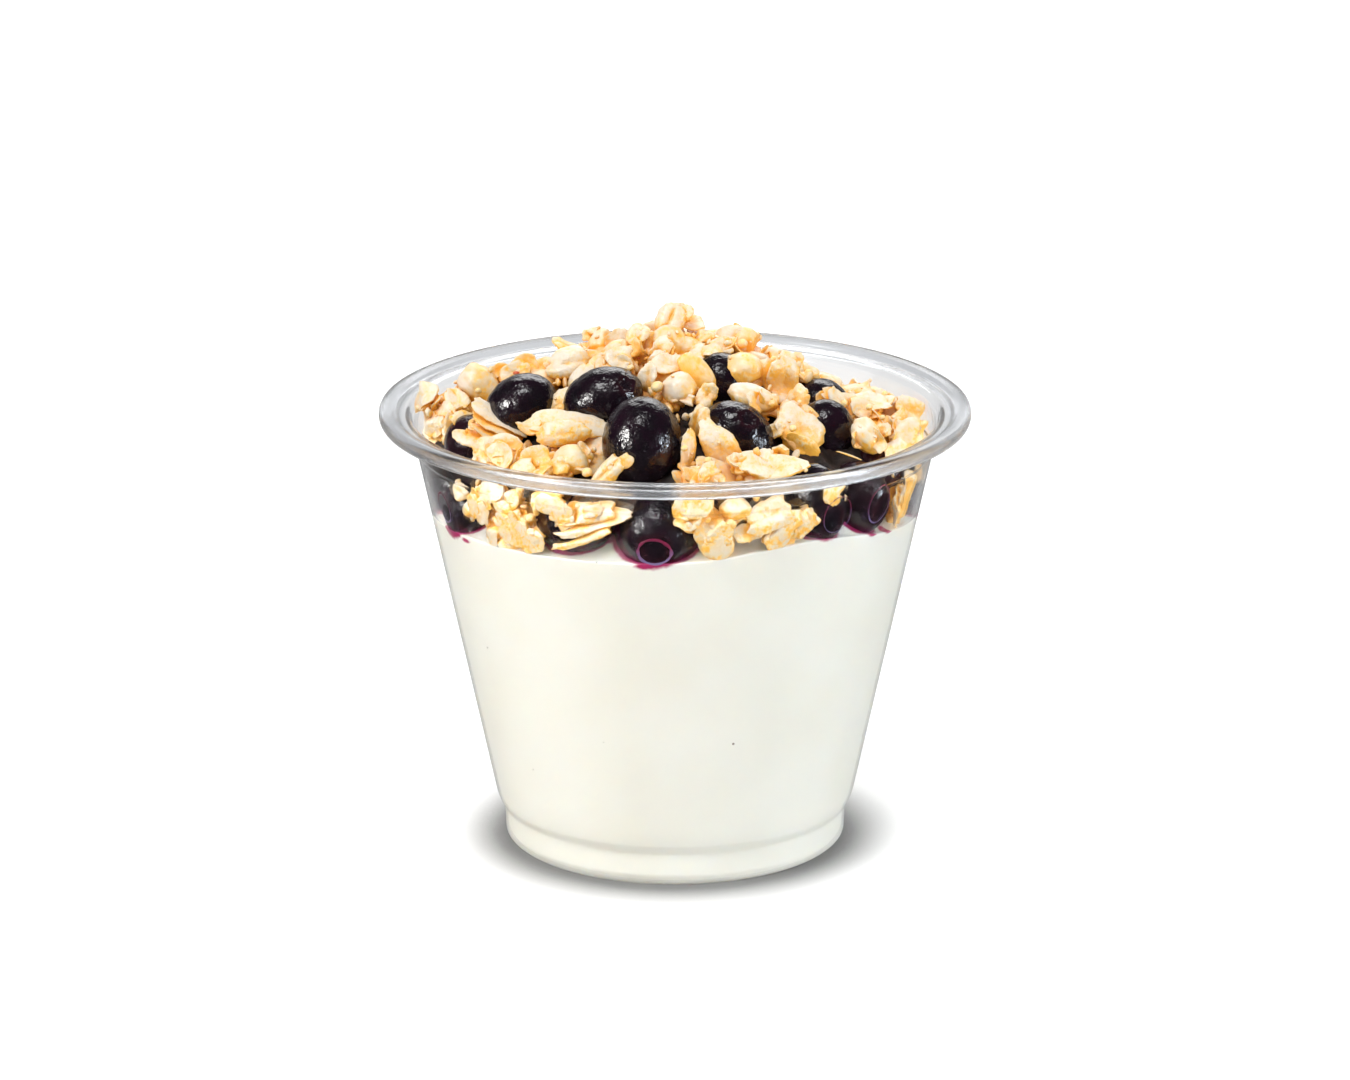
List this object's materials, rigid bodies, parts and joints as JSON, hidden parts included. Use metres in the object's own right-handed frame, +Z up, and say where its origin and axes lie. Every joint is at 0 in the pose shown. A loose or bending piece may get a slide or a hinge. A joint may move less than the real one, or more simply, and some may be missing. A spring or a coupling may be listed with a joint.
{
  "type": "yogurt parfait",
  "caption": "Vanilla yogurt parfait in a squat clear tapered cup with a rolled rim, topped with blueberries and a loose mound of granola.",
  "frame": {"origin": "on the ground under the middle of the cup's foot", "axes": "+Z up along the cup's axis, the shown side towards -Y, +X to the viewer's right"},
  "size_m": [0.092, 0.092, 0.0866],
  "materials": {
    "cup": "clear gloss plastic",
    "yogurt": "smooth, slightly glossy cream",
    "blueberry": "wet, near-black skin",
    "granola": "toasted, lightly glazed"
  },
  "bodies": {
    "root": {"cup": "cup", "yogurt": "yogurt", "granola": "granola", "blueberry_01": "blueberry", "blueberry_02": "blueberry", "blueberry_03": "blueberry", "blueberry_04": "blueberry", "blueberry_05": "blueberry", "blueberry_06": "blueberry", "blueberry_07": "blueberry", "blueberry_08": "blueberry", "blueberry_09": "blueberry", "blueberry_10": "blueberry", "blueberry_11": "blueberry", "blueberry_12": "blueberry", "blueberry_13": "blueberry", "blueberry_14": "blueberry", "blueberry_15": "blueberry", "blueberry_16": "blueberry", "blueberry_17": "blueberry", "blueberry_18": "blueberry", "blueberry_19": "blueberry", "blueberry_20": "blueberry", "blueberry_21": "blueberry", "blueberry_22": "blueberry", "blueberry_23": "blueberry", "blueberry_24": "blueberry", "blueberry_25": "blueberry", "blueberry_26": "blueberry", "blueberry_27": "blueberry", "blueberry_28": "blueberry", "blueberry_29": "blueberry", "blueberry_30": "blueberry"}
  },
  "joints": []
}
